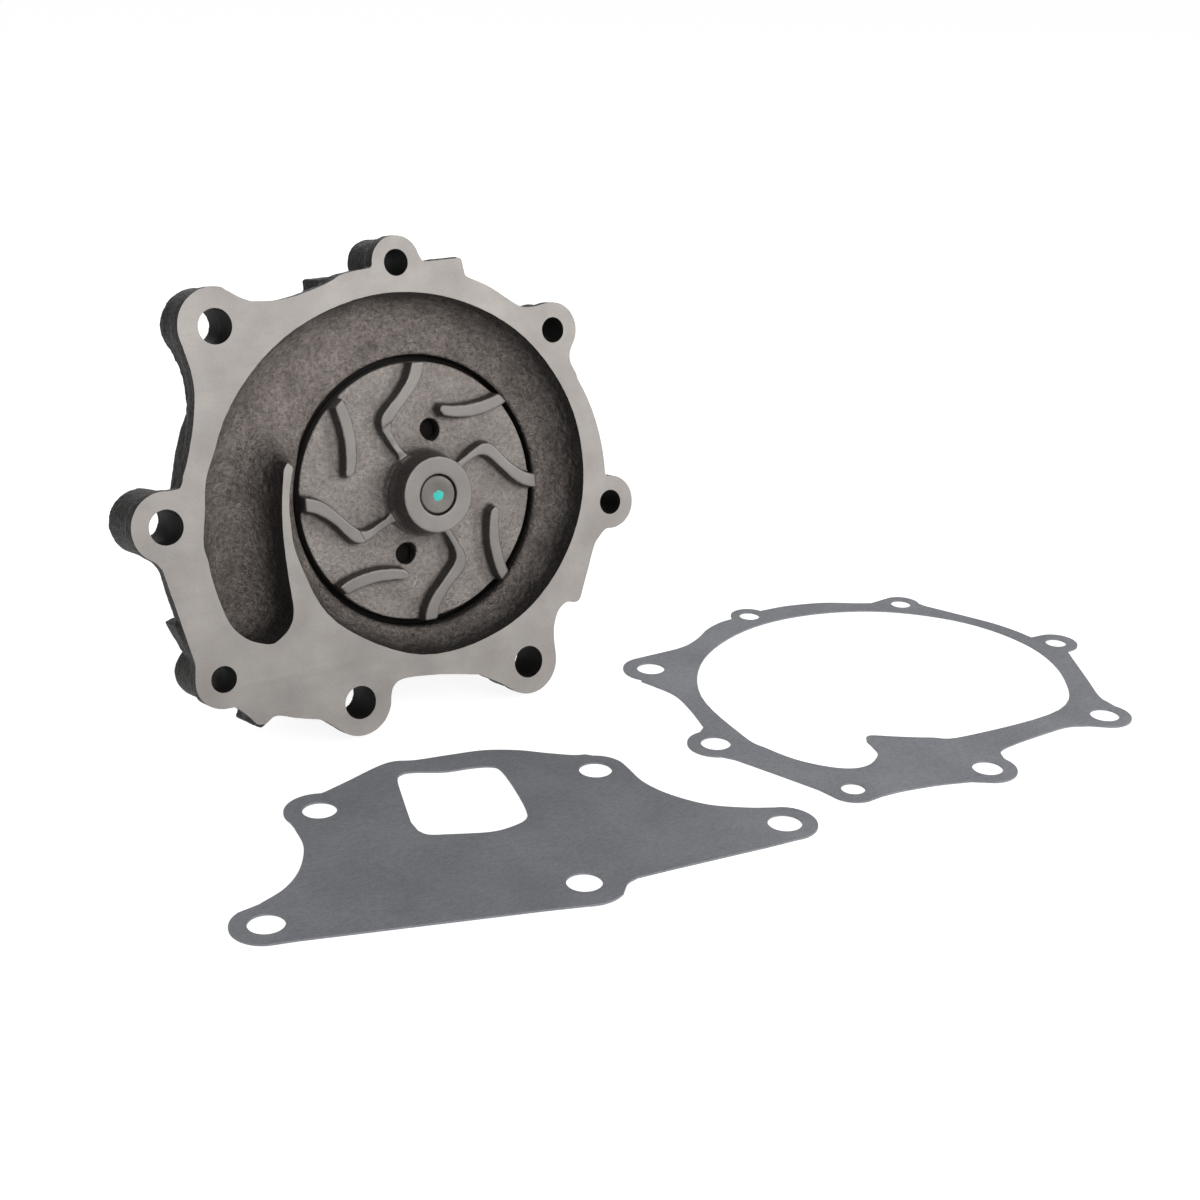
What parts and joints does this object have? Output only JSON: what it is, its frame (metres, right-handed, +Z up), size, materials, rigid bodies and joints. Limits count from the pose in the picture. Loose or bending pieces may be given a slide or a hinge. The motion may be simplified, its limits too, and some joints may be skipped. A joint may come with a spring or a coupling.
{
  "type": "engine coolant pump",
  "caption": "Cast-iron engine coolant pump, open spiral face, vaned impeller and belt pulley on one shaft, leaning on its lugs and rim beside two flat paper gaskets.",
  "frame": {"origin": "middle of the ground under the pump and its two gaskets", "axes": "+X to the right along the gasket face, +Y away from the viewer, +Z up; the shaft axis lies in a plane parallel to YZ and falls 12 degrees towards the pulley"},
  "size_m": [0.424, 0.2754, 0.1898],
  "materials": {
    "housing_iron": "as-cast walls, milled gasket face",
    "impeller_iron": "as-cast disc, turned vane tops and hub face",
    "pulley_iron": "as-cast web, turned rim and groove",
    "shaft_steel": "ground",
    "bearing_steel": "ground",
    "spring_steel": "drawn wire",
    "cup_brass": "pressed",
    "seal_rubber": "matt moulded",
    "carbon": "lapped carbon graphite",
    "ceramic_white": "lapped",
    "cage_nylon": "moulded",
    "gasket_paper": "matt fibre sheet"
  },
  "bodies": {
    "casing": {"housing": "housing_iron", "bearing_ring": "bearing_steel", "bearing_seal_front": "seal_rubber", "bearing_seal_rear": "seal_rubber", "seal_cup": "cup_brass", "seal_bellows": "seal_rubber", "seal_spring": "spring_steel", "seal_carbon_ring": "carbon"},
    "rotor": {"shaft": "shaft_steel", "impeller": "impeller_iron", "slinger": "seal_rubber", "seal_ceramic_seat": "ceramic_white", "seal_seat_cup": "seal_rubber", "pulley": "pulley_iron"},
    "front_ball_set": {"cage_front": "cage_nylon", "ball_front_1": "bearing_steel", "ball_front_2": "bearing_steel", "ball_front_3": "bearing_steel", "ball_front_4": "bearing_steel", "ball_front_5": "bearing_steel", "ball_front_6": "bearing_steel", "ball_front_7": "bearing_steel"},
    "rear_ball_set": {"cage_rear": "cage_nylon", "ball_rear_1": "bearing_steel", "ball_rear_2": "bearing_steel", "ball_rear_3": "bearing_steel", "ball_rear_4": "bearing_steel", "ball_rear_5": "bearing_steel", "ball_rear_6": "bearing_steel", "ball_rear_7": "bearing_steel"},
    "loose_volute_gasket": {"volute_gasket": "gasket_paper"},
    "loose_plate_gasket": {"plate_gasket": "gasket_paper"}
  },
  "joints": [
    {"name": "shaft_turn", "type": "hinge", "parent": "casing", "child": "rotor", "pos_m": [-0.0656, 0.03787, 0.09054], "axis": [0, -0.9781, 0.2079], "continuous": true},
    {"name": "front_balls_turn", "type": "hinge", "parent": "casing", "child": "front_ball_set", "pos_m": [-0.0656, 0.03787, 0.09054], "axis": [0, -0.9781, 0.2079], "continuous": true},
    {"name": "rear_balls_turn", "type": "hinge", "parent": "casing", "child": "rear_ball_set", "pos_m": [-0.0656, 0.03787, 0.09054], "axis": [0, -0.9781, 0.2079], "continuous": true},
    {"name": "volute_gasket_lift", "type": "slide", "parent": "casing", "child": "loose_volute_gasket", "axis": [0, 0, 1], "range_m": [0, 0.06]},
    {"name": "plate_gasket_lift", "type": "slide", "parent": "casing", "child": "loose_plate_gasket", "axis": [0, 0, 1], "range_m": [0, 0.06]}
  ],
  "couplings": [
    {"joint": "front_balls_turn", "follows": "shaft_turn", "ratio": 0.3738},
    {"joint": "rear_balls_turn", "follows": "shaft_turn", "ratio": 0.3738}
  ]
}
